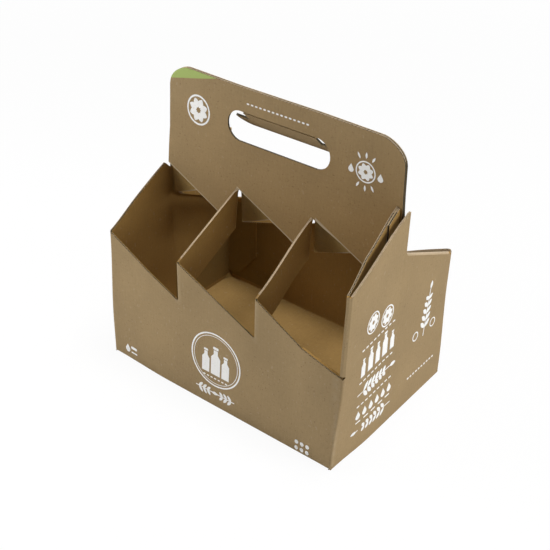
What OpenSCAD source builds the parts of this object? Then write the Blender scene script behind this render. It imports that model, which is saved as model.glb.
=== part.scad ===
// Six-cell carrier for bottles, cut from corrugated board, folded and glued.
// X runs along the length, the front long wall faces -Y, and the carrier stands on Z = 0.
// Everything but the bottom is the same when turned half a turn about Z.

/* [Cells] */
// Pitch of the bottle cells along the length
cell_w = 76; // [68:1:90]
// Pitch of the bottle cells from front to back
cell_d = 76; // [68:1:90]

/* [Board] */
// Thickness of the corrugated board
board = 1.6; // [1.2:0.1:2]
// Inside radius of a plain fold
fold_r = 0.6; // [0.3:0.1:1]
// Room left beside the glue tab inside a hem
hem_spare = 0.6; // [0.4:0.1:1.2]
// Depth of the scored line down the middle of an end wall
score_depth = 0.3; // [0.1:0.1:0.5]
// Radius of that scored line
score_r = 1; // [0.6:0.1:1.5]

/* [Walls] */
// Height of a long wall at its plain corner and at each divider
shoulder_h = 120; // [110:1:130]
// Fall of a slanting cut across one cell
slant = 35; // [28:1:42]
// Step down from the long wall to the end wall at a plain corner
end_step = 3; // [1:0.5:6]
// How far an end wall's peak stays below the top of the hem strip
peak_drop = 4; // [2:0.5:8]
// How far that peak runs past the middle of the end wall
peak_past = 2.4; // [1:0.2:5]
// Height where the last slit turns flatter
kink_h = 97; // [92:1:104]
// Height where the last slit hooks round the corner
hook_h = 87; // [80:1:90]
// Width of the hooked slit
hook_gap = 1.4; // [0.8:0.1:2.5]

/* [Glue flaps] */
// Width of the flap glued behind a long wall at a hemmed corner
flap_w = 34; // [24:1:44]
// Height at which the flap's lower corner is cut away
flap_cut_h = 35; // [25:1:45]
// Height of the flap's lower end
flap_low_h = 10; // [6:1:14]
// Width of the flap's lower end
flap_low_w = 14; // [8:1:20]
// Width of the handle's tab glued to the hem strip
tab_w = 17; // [12:1:24]
// Height at which that tab starts
tab_low_h = 150; // [140:1:160]
// Margin left between the tab and the strip's top edge
tab_margin = 0.6; // [0.2:0.1:2]

/* [Bottom] */
// How far the front bottom flap reaches past the middle
inner_reach = 40; // [25:1:55]
// How far the rear bottom flap reaches past the middle
outer_reach = 60; // [45:1:68]
// Clearance between a bottom flap and the end walls
bottom_clear = 0.5; // [0.3:0.1:1.5]
// Corner radius of a bottom flap's free edge
bottom_r = 8; // [4:1:14]

/* [Handle] */
// Height of the handle's top edge
top_h = 241; // [232:1:250]
// Radius of the handle's top corners
handle_r = 22; // [14:1:28]
// Gap between the two plies along their edges
ply_gap = 0.3; // [0.2:0.1:0.6]
// Distance from the hand hole down to the bend where the two plies spread apart
bend_drop = 9; // [5:1:14]
// Angle by which each ply spreads below that height
splay = 5.5; // [3:0.5:7]
// Margin left bare of glue along the plies' edges
glue_margin = 7; // [4:1:9]

/* [Hand hole] */
// Width of the hand hole
hole_w = 96; // [84:1:110]
// Height of the hand hole
hole_h = 25; // [22:1:28]
// Distance from the handle's top edge to the hole's top edge, where the hand flap folds
hole_drop = 22; // [19:1:26]
// Extra size of the hole in the rear ply, all round
hole_grow = 2.2; // [1.8:0.1:3]
// Length of the hand flap's fold
hinge_w = 67; // [58:1:70]
// Depth of the relief cut at each end of that fold
relief = 12; // [9:0.5:14]
// Clearance between the hand flap and the hole
flap_clear = 0.4; // [0.3:0.1:0.8]
// Angle by which the hand flap stands pushed back
flap_angle = 42; // [30:1:55]

/* [Hidden] */
$fn = 64;
columns = 3;
overrun = 1;

length = columns * cell_w;
half_l = length / 2;
half_d = cell_d;
fold_o = fold_r + board;
hem_gap = board + hem_spare;
hem_o = board + hem_gap / 2;
slit_h = shoulder_h - slant;
hem_h = shoulder_h + slant;
strip_top_h = hem_h + slant;
peak_h = strip_top_h - peak_drop;
inner_z = board;
ply_back = -ply_gap / 2;
hem_strip_x = half_l - 2 * hem_o;
handle_half = hem_strip_x + board + fold_r;
hole_r = hole_h / 2;
hole_top_h = top_h - hole_drop;
bend_h = hole_top_h - hole_h - bend_drop;

// Left edge of cell k along a long wall
function cell_x(k) = k * cell_w - half_l;
// Place of a ply's back face at height h
function ply_y(h) = ply_back - max(0, bend_h - h) * tan(splay);
// Middle of a ply's thickness at height h, where a strip's end joins it
function ply_mid(h) = ply_y(h) - board / 2;
// Right edge of the ply's tooth that carries the divider of cell k
function tooth_x(k) = cell_x(k) + board + fold_r;
// Height of the hem strip's top edge at depth y
function strip_top(y) = hem_h + slant * (y + half_d) / half_d;
// Height of an end wall's low half at depth y
function end_top(y) = shoulder_h - end_step + slant * (half_d - y) / half_d;
// Height along a slanting cut that falls from h at the left of one cell
function slant_at(h, run) = h - slant * run / cell_w;

// Rectangle with round corners, centred
module rounded_rect(l, d, r) {
    square([l - 2 * r, d], center = true);
    square([l, d - 2 * r], center = true);
    for (sx = [-1, 1], sy = [-1, 1])
        translate([sx * (l / 2 - r), sy * (d / 2 - r)])
            circle(r);
}

// Slot with half-round ends, centred
module stadium(l, d) {
    square([l - d, d], center = true);
    for (sx = [-1, 1])
        translate([sx * (l - d) / 2, 0])
            circle(d = d);
}

// Outline drawn in X and Z, thickened from y to y + depth
module upright_x(y, depth) {
    translate([0, y + depth, 0])
        rotate([90, 0, 0])
            linear_extrude(depth)
                children();
}

// Outline drawn in Y and Z, thickened from x to x + depth
module upright_y(x, depth) {
    translate([x, 0, 0])
        rotate([90, 0, 90])
            linear_extrude(depth)
                children();
}

// Board bent through the quarter of a circle that faces -X and -Y
module fold_section() {
    intersection() {
        difference() {
            circle(fold_o);
            circle(fold_r);
        }
        translate([-fold_o, -fold_o])
            square(fold_o);
    }
}

// Space above the stepped top edge of the front wall
module front_cut() {
    upright_x(-half_d - overrun, fold_o + overrun)
        polygon(concat(
            [[-half_l - overrun, top_h], [-half_l - overrun, shoulder_h]],
            [for (k = [0:columns - 1], end = [0, 1])
                let (start = k > 0 ? fold_o : 0)
                end == 0 ? [cell_x(k) + start, slant_at(shoulder_h, start)]
                    : k < columns - 1 ? [cell_x(k + 1), slit_h]
                    : [half_l - flap_w, kink_h],
             ],
            [[half_l - hem_o, hook_h], [half_l - hem_o, top_h]]
        ));
    for (k = [1:columns - 1])
        translate([cell_x(k), -half_d - overrun, slit_h])
            cube([fold_o, fold_o + overrun, top_h]);
}

// Space above the peaked top edge of the right end wall
module end_cut() {
    upright_y(half_l - fold_o, fold_o + overrun)
        polygon([
            [-half_d - overrun, hem_h],
            [-half_d, hem_h],
            [peak_past, peak_h],
            [peak_past, end_top(peak_past)],
            [half_d, end_top(half_d)],
            [half_d + overrun, end_top(half_d)],
            [half_d + overrun, top_h],
            [-half_d - overrun, top_h]
        ]);
}

// Room for the hem at the front right corner, and the hooked end of its slit
module hem_cut() {
    translate([half_l - hem_o, -half_d - overrun, hook_h])
        cube([hem_o + overrun, hem_o + overrun, top_h]);
    upright_y(half_l - fold_o, fold_o + overrun)
        translate([hem_o - half_d, hook_h + hook_gap / 2])
            circle(d = hook_gap);
}

// Scored line down the middle of the right end wall
module score_cut() {
    translate([half_l + score_r - score_depth, 0, -overrun])
        cylinder(h = top_h, r = score_r);
}

// The four walls, one turned strip of board
module walls() {
    difference() {
        linear_extrude(peak_h)
            difference() {
                rounded_rect(length, 2 * half_d, fold_o);
                rounded_rect(length - 2 * board, 2 * (half_d - board), fold_r);
            }
        for (turn = [0, 180])
            rotate(turn) {
                front_cut();
                end_cut();
                hem_cut();
                score_cut();
            }
        for (side = [[0, inner_z], [180, 0]])
            rotate(side[0])
                translate([fold_o - half_l, -half_d - overrun, -overrun])
                    cube([length - 2 * fold_o, fold_o + overrun, side[1] + fold_o + overrun]);
    }
}

// Bottom flap folded in from the front wall at height z, reaching past the middle
module bottom_flap(z, reach) {
    fold_l = length - 2 * fold_o;
    flap_l = length - 2 * (board + bottom_clear);
    translate([fold_l / 2, fold_o - half_d, z + fold_o])
        rotate([0, -90, 0])
            linear_extrude(fold_l)
                fold_section();
    translate([0, 0, z])
        linear_extrude(board) {
            translate([-flap_l / 2, fold_o - half_d])
                square([flap_l, half_d - fold_o + reach - bottom_r]);
            translate([0, reach - bottom_r])
                stadium(flap_l, 2 * bottom_r);
        }
}

// Divider strip folded in from the front wall at the left edge of cell k
module divider(k) {
    translate([cell_x(k) + fold_o, fold_o - half_d, slit_h])
        linear_extrude(slant)
            fold_section();
    upright_y(cell_x(k), board)
        polygon([
            [fold_o - half_d, slit_h],
            [fold_o - half_d, shoulder_h],
            [ply_mid(hem_h), hem_h - fold_r],
            [ply_mid(shoulder_h), shoulder_h + fold_r]
        ]);
}

// Strip hemmed back from the right end wall, with the hem itself
module hem_strip() {
    hem_low_h = hook_h + hook_gap;
    translate([half_l - hem_o, hem_o - half_d, hem_low_h])
        linear_extrude(hem_h - hem_low_h)
            difference() {
                circle(hem_o);
                circle(hem_gap / 2);
                translate([-hem_o, 0])
                    square(2 * hem_o);
            }
    upright_y(hem_strip_x, board)
        polygon([
            [hem_o - half_d, hem_low_h],
            [flap_w - half_d, kink_h],
            [ply_mid(shoulder_h), shoulder_h],
            [ply_mid(bend_h), bend_h],
            [ply_mid(bend_h), strip_top(0)],
            [hem_o - half_d, hem_h]
        ]);
}

// Flap glued behind the front wall at its hemmed corner
module glue_flap() {
    upright_x(board - half_d, board)
        polygon([
            [half_l - board, flap_low_h],
            [half_l - flap_low_w, flap_low_h],
            [half_l - flap_w, flap_cut_h],
            [half_l - flap_w, kink_h],
            [half_l - hem_o, hook_h],
            [half_l - board, hook_h]
        ]);
}

// Tab that turns forward from the handle's right edge on to the hem strip
module handle_tab() {
    upright_y(hem_strip_x + board, board)
        polygon([
            [ply_mid(tab_low_h), tab_low_h],
            [ply_mid(tab_low_h) - tab_w, tab_low_h],
            [-tab_w, strip_top(-tab_w) - tab_margin],
            [ply_mid(bend_h), strip_top(0) - tab_margin],
            [ply_mid(bend_h), max(bend_h, tab_low_h)]
        ]);
}

// Outline of one ply: round corners above, teeth below
module ply_outline() {
    first_run = tooth_x(1) + handle_half;
    last_run = handle_half - tooth_x(columns - 1);
    polygon(concat(
        [[-handle_half, top_h - handle_r], [-handle_half, slant_at(shoulder_h, -first_run)]],
        [for (k = [1:columns - 1], h = [shoulder_h, hem_h]) [tooth_x(k), h]],
        [[handle_half, slant_at(hem_h, last_run)], [handle_half, top_h - handle_r]]
    ));
    translate([0, top_h - handle_r])
        stadium(2 * handle_half, 2 * handle_r);
}

// One ply of the handle, bent outwards below, with its hand hole grown by some margin
module ply(grow) {
    foot_y = ply_y(slit_h);
    intersection() {
        upright_y(-half_l, length)
            polygon([
                [ply_back, top_h + overrun],
                [ply_back, bend_h],
                [foot_y, slit_h],
                [foot_y - board, slit_h],
                [ply_back - board, bend_h],
                [ply_back - board, top_h + overrun]
            ]);
        upright_x(-half_d, 2 * half_d)
            difference() {
                ply_outline();
                translate([0, hole_top_h - hole_r])
                    stadium(hole_w + 2 * grow, hole_h + 2 * grow);
            }
    }
}

// Glue between the two plies, kept back from their edges
module ply_glue() {
    upright_x(-ply_gap / 2, ply_gap)
        difference() {
            translate([0, (top_h + bend_h) / 2])
                square([2 * (handle_half - glue_margin), top_h - bend_h - 2 * glue_margin], center = true);
            translate([0, hole_top_h - hole_r])
                square([hole_w + 2 * glue_margin, 3 * hole_h], center = true);
        }
}

// The folded and glued carrier
module carrier() {
    color("tan") {
        walls();
        bottom_flap(inner_z, inner_reach);
        rotate(180)
            bottom_flap(0, outer_reach);
        for (turn = [0, 180])
            rotate(turn) {
                for (k = [1:columns - 1])
                    divider(k);
                hem_strip();
                glue_flap();
                handle_tab();
                ply(turn > 0 ? hole_grow : 0);
            }
        ply_glue();
    }
}

// The flap of the hand hole, hinged on the front ply's back face
module hand_flap() {
    color("peru")
        translate([0, ply_back, hole_top_h])
            rotate([flap_angle, 0, 0])
                upright_x(-board, board)
                    difference() {
                        translate([0, -hole_r])
                            stadium(hole_w - 2 * flap_clear, hole_h - 2 * flap_clear);
                        for (side = [-1, 1])
                            translate([side * (hinge_w + hole_w) / 2, 0])
                                square([hole_w, 2 * relief], center = true);
                    }
}

carrier();
hand_flap();
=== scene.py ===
# %% [markdown]
# # A six-cell bottle carrier folded from corrugated board
# The real carrier is one die-cut sheet of thin brown corrugated board. Slanted slits in the long
# walls free strips of board that turn inwards, part the cells and rise to a double handle.
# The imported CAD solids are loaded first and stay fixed. Every piece below is modelled around
# them in metres, in the same frame, so nothing has to be fitted afterwards.

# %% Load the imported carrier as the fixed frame
import math

import bmesh
import bpy
from mathutils import Matrix, Vector


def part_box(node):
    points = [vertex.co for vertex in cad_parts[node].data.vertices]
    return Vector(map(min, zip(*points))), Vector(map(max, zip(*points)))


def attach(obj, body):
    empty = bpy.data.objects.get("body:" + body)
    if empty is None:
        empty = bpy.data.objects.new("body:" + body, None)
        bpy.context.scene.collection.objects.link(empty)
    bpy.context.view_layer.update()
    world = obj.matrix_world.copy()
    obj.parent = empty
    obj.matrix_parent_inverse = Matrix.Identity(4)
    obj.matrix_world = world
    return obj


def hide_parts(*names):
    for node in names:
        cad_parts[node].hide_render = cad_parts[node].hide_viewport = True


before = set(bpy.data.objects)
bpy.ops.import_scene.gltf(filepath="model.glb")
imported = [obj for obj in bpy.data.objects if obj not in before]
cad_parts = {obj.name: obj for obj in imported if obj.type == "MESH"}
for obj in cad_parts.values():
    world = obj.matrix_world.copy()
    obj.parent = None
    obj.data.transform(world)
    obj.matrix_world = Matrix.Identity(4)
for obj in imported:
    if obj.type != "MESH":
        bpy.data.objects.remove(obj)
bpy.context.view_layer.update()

# %% [markdown]
# ## Camera
# The picture was taken from the front right corner, a little above. The camera's place and lens come
# from matching the corners of the CAD model with the picture, so they are written as angles and a
# point.

# %% Set the camera
MM = 0.001
SENSOR = 36.0
LENS = 65.29
AZIMUTH, ELEVATION, ROLL = (math.radians(angle) for angle in (37.192, 33.318, 1.461))
EYE = Vector((0.4049, -0.5357, 0.5278))

back = Vector((
    math.sin(AZIMUTH) * math.cos(ELEVATION),
    -math.cos(AZIMUTH) * math.cos(ELEVATION),
    math.sin(ELEVATION),
))
level = Vector((0, 0, 1)).cross(back).normalized()
upright = back.cross(level)
across = level * math.cos(ROLL) + upright * math.sin(ROLL)
upward = upright * math.cos(ROLL) - level * math.sin(ROLL)
turn = Matrix((across, upward, back)).transposed().to_euler()
bpy.ops.object.camera_add(location=EYE, rotation=turn)
camera = bpy.context.object
camera.name = "photo_camera"
camera.data.sensor_width = SENSOR
camera.data.lens = LENS
bpy.context.scene.camera = camera
print("camera at", [round(value, 3) for value in EYE])

# %% [markdown]
# ## Building node trees
# Every finish, and the sky too, is a tree of nodes. By hand you would drag lines between sockets.
# These helpers add a node, feed its sockets with lines or plain values, and give back the socket
# that goes on.

# %% Helpers for nodes


def feed(tree, socket, value):
    """Joins a socket to another one, or sets a plain value on it."""
    if hasattr(value, "is_linked"):
        tree.links.new(value, socket)
    else:
        socket.default_value = value


def put(tree, kind, values=(), **settings):
    """Adds a node with its settings and feeds its sockets, by name or number."""
    node = tree.nodes.new(kind)
    for name, value in settings.items():
        setattr(node, name, value)
    for key, value in values:
        feed(tree, node.inputs[key], value)
    return node


def calc(tree, operation, *values):
    """A Math node fed by sockets or plain numbers."""
    return put(tree, "ShaderNodeMath", enumerate(values), operation=operation).outputs[0]


def times(tree, first, *others):
    """The product of sockets and plain numbers."""
    for other in others:
        first = calc(tree, "MULTIPLY", first, other)
    return first


def spread(tree, value, low_in, high_in, low_out=0.0, high_out=1.0):
    """Maps a value from one span to another and holds it there."""
    return put(tree, "ShaderNodeMapRange", (
        ("Value", value), ("From Min", low_in), ("From Max", high_in),
        ("To Min", low_out), ("To Max", high_out))).outputs[0]


def seen_directly(tree):
    """A mask that is 1 for camera, mirror and glass rays."""
    path = put(tree, "ShaderNodeLightPath").outputs
    first = calc(tree, "MAXIMUM", path["Is Camera Ray"], path["Is Glossy Ray"])
    return calc(tree, "MAXIMUM", first, path["Is Transmission Ray"])


print("node helpers ready")

# %% [markdown]
# ## Floor and light
# The floor is plain and pale. It is mostly self-lit for the camera, so that it stays white beside the
# box and still shows a soft shadow. A dim sky and three soft lamps light the box.

# %% Lay the floor and light the box
FLOOR_SIZE = 8.0
FLOOR_DROP = 0.3 * MM
FLOOR_WHITE = 0.9
FLOOR_GLOW = 0.93
FADE_FROM = 0.5
FADE_TO = 1.3
SKY_LIGHT = 0.112


def white_floor():
    """Pale paper that the camera sees as nearly self-lit, and wholly so further out."""
    material = bpy.data.materials.new("studio_floor")
    material.use_nodes = True
    tree = material.node_tree
    plain = tree.nodes["Principled BSDF"]
    plain.inputs["Base Color"].default_value = (FLOOR_WHITE, FLOOR_WHITE, FLOOR_WHITE, 1)
    plain.inputs["Roughness"].default_value = 1.0
    plain.inputs["Specular IOR Level"].default_value = 0.0
    glow = put(tree, "ShaderNodeEmission", (("Strength", 1.0),))
    place = put(tree, "ShaderNodeTexCoord").outputs["Object"]
    reach = put(tree, "ShaderNodeVectorMath", ((0, place),), operation="LENGTH").outputs["Value"]
    share = times(tree, seen_directly(tree), spread(tree, reach, FADE_FROM, FADE_TO, FLOOR_GLOW, 1.0))
    mix = put(tree, "ShaderNodeMixShader", ((0, share), (1, plain.outputs[0]), (2, glow.outputs[0])))
    tree.links.new(mix.outputs[0], tree.nodes["Material Output"].inputs["Surface"])
    return material


bpy.ops.object.select_all(action="DESELECT")
bpy.ops.mesh.primitive_plane_add(size=FLOOR_SIZE, location=(0, 0, -FLOOR_DROP))
floor = bpy.context.object
floor.name = "studio_floor"
floor.data.materials.append(white_floor())

world = bpy.data.worlds.new("studio_sky")
world.use_nodes = True
bpy.context.scene.world = world
sky = world.node_tree.nodes["Background"]
sky.inputs["Color"].default_value = (1, 1, 1, 1)
strength = spread(world.node_tree, seen_directly(world.node_tree), 0.0, 1.0, SKY_LIGHT, 1.0)
world.node_tree.links.new(strength, sky.inputs["Strength"])


def soft_box(name, place, aim, size, level):
    """A square lamp. A surface that faces it at the aim point renders at about its colour times level."""
    place, aim = Vector(place), Vector(aim)
    bpy.ops.object.light_add(type="AREA", location=place)
    lamp = bpy.context.object
    lamp.name = name
    lamp.rotation_euler = (aim - place).to_track_quat("-Z", "Y").to_euler()
    lamp.data.size = size
    lamp.data.energy = level * math.pi ** 2 * (aim - place).length_squared


soft_box("top_box", (0.20, 0.16, 1.60), (0, 0, 0.1), 0.6, 0.80)
soft_box("side_right", (1.36, 0.40, 0.58), (0.1, 0, 0.12), 0.6, 0.525)
soft_box("fill_front", (-0.54, -0.42, 0.42), (-0.05, 0, 0.12), 0.5, 0.64)
bpy.context.scene.view_settings.view_transform = "Standard"

# %% [markdown]
# ## Sizes of the sheet
# The outer sizes are read from the CAD node, and the rest repeats the names of the part's source.
# All of them are lengths on the finished box: cells, slits, folds and the handle.

# %% Read and name the sizes
low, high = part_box("carrier")
HALF_L, HALF_D, TOP_H = high.x, high.y, high.z
CELL = HALF_L / 1.5
BOARD = 1.6 * MM
LINER = 0.3 * MM
FOLD_R = 1.7 * MM
SHOULDER_H = 120 * MM
SLANT = 35 * MM
SLIT_H = SHOULDER_H - SLANT
HEM_H = 155 * MM
PEAK_H = 186 * MM
PEAK_PAST = 2.4 * MM
CORNER_H = 118.5 * MM
KINK_X, KINK_H = HALF_L - 34 * MM, 97 * MM
HOOK_H = 87 * MM
HOOK_GAP = 1.4 * MM
HEM_R = 2.2 * MM
STRIP_IN = 3.7 * MM
STRIP_TURN = 28 * MM
HANDLE_HALF = 110.8 * MM
HANDLE_R = 22 * MM
PLY_Y = 1.75 * MM
BEND_H = 185 * MM
SPLAY = math.tan(math.radians(5.5))
REAR_SPLAY = math.tan(math.radians(2.5))
END_OUT = 2.0 * MM
HOLE_HALF = 48 * MM
HOLE_R = 12.5 * MM
HOLE_H = 206.5 * MM
HOLE_SPARE = 2.2 * MM
STEP_X = CELL / 16
STEP_Z = 5 * MM
SCORE = 0.12 * MM
HAIR = 0.05 * MM
QUARTER = math.pi / 2
print("cells", [round(v / MM, 1) for v in (CELL, HALF_L * 2, HALF_D * 2, TOP_H)], "mm")

# %% [markdown]
# ## Working on the sheet by place
# By hand you would click on faces and edges. In a script they are chosen by where they are, and then
# the same operators do the work: bisect to cut, extrude to draw a flap out of an edge, spin for
# a rounded hem, bevel for a fold. These small helpers do the choosing.

# %% Helpers for selecting, cutting and drawing out


def put_down():
    """Object mode, with nothing selected."""
    if bpy.context.object and bpy.context.object.mode != "OBJECT":
        bpy.ops.object.mode_set(mode="OBJECT")
    bpy.ops.object.select_all(action="DESELECT")


def hold(piece):
    """Object mode, with only this piece selected and active."""
    put_down()
    piece.select_set(True)
    bpy.context.view_layer.objects.active = piece


def edit(piece, kind="FACE", action="SELECT"):
    """Edit mode on this piece, with all of it selected or none."""
    hold(piece)
    bpy.ops.object.mode_set(mode="EDIT")
    bpy.ops.mesh.select_mode(type=kind)
    bpy.ops.mesh.select_all(action=action)


def done():
    bpy.ops.object.mode_set(mode="OBJECT")


def fix_place():
    """Puts the object's place, turn and scale into its mesh."""
    bpy.ops.object.transform_apply(location=True, rotation=True, scale=True)


def lay_panel(name, centre, turn, size, cells):
    """A flat panel of board in small squares, with its place in its mesh."""
    put_down()
    bpy.ops.mesh.primitive_grid_add(
        x_subdivisions=cells[0], y_subdivisions=cells[1], size=1, location=centre, rotation=turn)
    piece = bpy.context.object
    piece.name = name
    piece.scale = (size[0], size[1], 1)
    fix_place()
    return piece


def pick(piece, kind, rule):
    """Edit mode, with the faces or edges selected that the rule takes."""
    edit(piece, kind, "DESELECT")
    sheet = bmesh.from_edit_mesh(piece.data)
    chosen = [part for part in (sheet.faces if kind == "FACE" else sheet.edges) if rule(part)]
    for part in chosen:
        part.select_set(True)
    bmesh.update_edit_mesh(piece.data)
    return len(chosen)


def select_faces(piece, where):
    """Picks the faces whose middle is where the rule says."""
    return pick(piece, "FACE", lambda face: where(face.calc_center_median()))


def select_edges(piece, where, border=None):
    """Picks the edges whose two ends are where the rule says."""
    return pick(piece, "EDGE", lambda edge: (
        all(where(corner.co) for corner in edge.verts) and border in (None, edge.is_boundary)))


def drop_faces(piece, where):
    """Deletes the chosen faces and leaves their neighbours whole."""
    if select_faces(piece, where):
        bpy.ops.mesh.delete(type="FACE")
    done()


def everywhere(place):
    return True


def cut(piece, point, normal, where=everywhere, drop=False):
    """Cuts the chosen faces along a plane and drops what lies on the normal's side, if asked."""
    if select_faces(piece, where):
        bpy.ops.mesh.bisect(plane_co=point, plane_no=normal, threshold=HAIR / 10)
    done()
    if drop:
        start, out = Vector(point), Vector(normal)
        drop_faces(piece, lambda c: where(c) and (c - start).dot(out) > 0)


def draw_out(*step):
    """Extrudes the picked edges by a step and leaves the new edges picked."""
    bpy.ops.mesh.extrude_region_move(TRANSFORM_OT_translate={"value": step})


def half_turned(piece):
    """A copy on the other side of the carrier, half a turn round."""
    hold(piece)
    bpy.ops.object.duplicate()
    bpy.ops.transform.rotate(value=math.pi, orient_axis="Z", center_override=(0, 0, 0))
    fix_place()
    return bpy.context.object


def join(name, pieces):
    hold(pieces[0])
    for piece in pieces:
        piece.select_set(True)
    bpy.ops.object.join()
    pieces[0].name = name
    return pieces[0]


def weld(piece):
    edit(piece)
    bpy.ops.mesh.remove_doubles(threshold=HAIR)
    done()


def thicken_sheet(piece, **settings):
    """Solidify with these settings, applied."""
    hold(piece)
    shell = piece.modifiers.new("thickness", "SOLIDIFY")
    for name, value in settings.items():
        setattr(shell, name, value)
    bpy.ops.object.modifier_apply(modifier=shell.name)


def near(value, target):
    return abs(value - target) < HAIR


print("helpers ready")

# %% [markdown]
# ## Front wall with its slanted slits
# Each cell has a slit that starts at the top of its left fold and runs down to the foot of the next
# one. The wall starts as a grid of small squares, so that it can bow a little later, and each cell's
# top is cut along its slant. In the third cell the slit turns flatter where a glued flap lies
# behind the wall. Only the outer face is modelled now. The board's thickness comes at the end.

# %% Cut the front wall
WALL_COLUMNS, WALL_ROWS = 48, 25
wall_h = WALL_ROWS * STEP_Z
front = lay_panel(
    "front_wall", (0, -HALF_D, wall_h / 2), (QUARTER, 0, 0),
    (2 * HALF_L, wall_h), (WALL_COLUMNS, WALL_ROWS))
slant_up = Vector((SLANT, 0, CELL)).normalized()
for left, start in ((-1.5 * CELL, CORNER_H), (-0.5 * CELL, SHOULDER_H)):
    down = Vector((start - SLIT_H, 0, CELL)).normalized()
    cut(front, (left, -HALF_D, start), down, lambda c: left < c.x < left + CELL, drop=True)
last = 0.5 * CELL
cut(front, (KINK_X, 0, 0), (1, 0, 0), lambda c: c.x > last)
steep = Vector((SHOULDER_H - KINK_H, 0, KINK_X - last)).normalized()
cut(front, (KINK_X, -HALF_D, KINK_H), steep, lambda c: last < c.x < KINK_X, drop=True)
flat = Vector((KINK_H - HOOK_H, 0, HALF_L - HEM_R - KINK_X)).normalized()
cut(front, (KINK_X, -HALF_D, KINK_H), flat, lambda c: c.x > KINK_X, drop=True)
print("front wall:", len(front.data.polygons), "faces")

# %% [markdown]
# ## End wall with its hem
# The end wall rises from the front corner to a peak past its middle and starts again lower down behind
# it. Its front border isn't a cut edge: the board turns back on itself there in a tight hem, and the
# turned strip runs inwards as the last divider. Spin rolls the border round, and extrude draws
# the strip out of it, rising as the other strips do. A shallow score runs down the middle.

# %% Cut the end wall and roll its hem
END_COLUMNS, END_ROWS = 32, 38
end_h = END_ROWS * STEP_Z
end = lay_panel(
    "end_wall", (HALF_L, 0, end_h / 2), (QUARTER, 0, QUARTER),
    (2 * HALF_D, end_h), (END_COLUMNS, END_ROWS))
cut(end, (0, PEAK_PAST, 0), (0, 1, 0), lambda c: abs(c.y) < 2 * STEP_X)
rise = Vector((0, HEM_H - PEAK_H, HALF_D + PEAK_PAST)).normalized()
cut(end, (HALF_L, -HALF_D, HEM_H), rise, lambda c: c.y < PEAK_PAST, drop=True)
fall = Vector((0, SLANT, HALF_D)).normalized()
cut(end, (HALF_L, HALF_D, CORNER_H), fall, lambda c: c.y > PEAK_PAST, drop=True)
for side in (-1, 1):
    cut(end, (0, side * MM, 0), (0, 1, 0), lambda c: 0 < c.y * side < STEP_X)
select_edges(end, lambda p: near(p.y, 0))
bpy.ops.transform.translate(value=(-SCORE, 0, 0))
hem_y = HEM_R - HALF_D
hem_from = HOOK_H + HOOK_GAP
cut(end, (0, hem_y, 0), (0, 1, 0), lambda c: c.y < hem_y + STEP_X)
cut(end, (0, 0, HOOK_H), (0, 0, 1), lambda c: c.y < hem_y)
drop_faces(end, lambda c: c.y < hem_y and c.z > HOOK_H)
cut(end, (0, 0, hem_from), (0, 0, 1), lambda c: c.y < hem_y + STEP_X and c.z > HOOK_H - STEP_Z)
select_edges(end, lambda p: near(p.y, hem_y) and p.z > hem_from - HAIR, border=True)
bpy.ops.mesh.spin(steps=3, angle=math.pi, center=(HALF_L - HEM_R, hem_y, 0), axis=(0, 0, 1))
hem_reach = -PLY_Y - hem_y
for part, inward in ((STRIP_TURN, STRIP_IN), (hem_reach - STRIP_TURN, 0)):
    draw_out(-inward, part, part * SLANT / CELL)
done()
inmost = min(corner.co.x for corner in end.data.vertices)
print("end wall:", len(end.data.polygons), "faces, x from", round(inmost / MM, 2))

# %% [markdown]
# ## Handle ply
# The two strips end in a tall panel with three slanted teeth below. That panel and its twin from
# the other side stand back to back as the handle. The top corners are rounded by cutting along
# a few tangents of the corner's arc, which stays clean on a grid.

# %% Cut the handle ply
PLY_LOW = 115 * MM
PLY_ROWS = 26
ply_h = PLY_ROWS * STEP_Z
ply = lay_panel(
    "handle_ply", (0, -PLY_Y, PLY_LOW + ply_h / 2), (QUARTER, 0, 0),
    (2 * HALF_L, ply_h), (WALL_COLUMNS, PLY_ROWS))
cut(ply, (0, 0, TOP_H), (0, 0, 1), drop=True)
for side in (-1, 1):
    cut(ply, (side * HANDLE_HALF, 0, 0), (side, 0, 0), drop=True)
for left in (-1.5 * CELL, -0.5 * CELL, 0.5 * CELL):
    cut(ply, (left, 0, HEM_H), -slant_up, lambda c, left=left: left < c.x < left + CELL, drop=True)


def round_corner(piece, centre, radius, side, where, drop=True, steps=9, rise=(0, 0, 1)):
    """Cuts along tangents of an arc, from sideways to the way of the rise."""
    for step in range(1, steps):
        angle = QUARTER * step / steps
        out = Vector((side[0] * math.cos(angle), 0, 0)) + Vector(rise) * (side[1] * math.sin(angle))
        cut(piece, Vector(centre) + out * radius, out, where, drop)


for side in (-1, 1):
    middle = (side * (HANDLE_HALF - HANDLE_R), 0, TOP_H - HANDLE_R)
    round_corner(ply, middle, HANDLE_R, (side, 1),
                 lambda c: c.x * side > HANDLE_HALF - 2 * HANDLE_R and c.z > TOP_H - 2 * HANDLE_R)
print("handle ply:", len(ply.data.polygons), "faces")

# %% [markdown]
# ## Divider strips
# The strips are drawn out of the hinge edges that the slits left standing on the front wall. They climb
# by one slant on their way to the handle, so one extrude with a rising step gives the whole
# strip, and its far end lands on the ply's tooth, where the two are welded.

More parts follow.
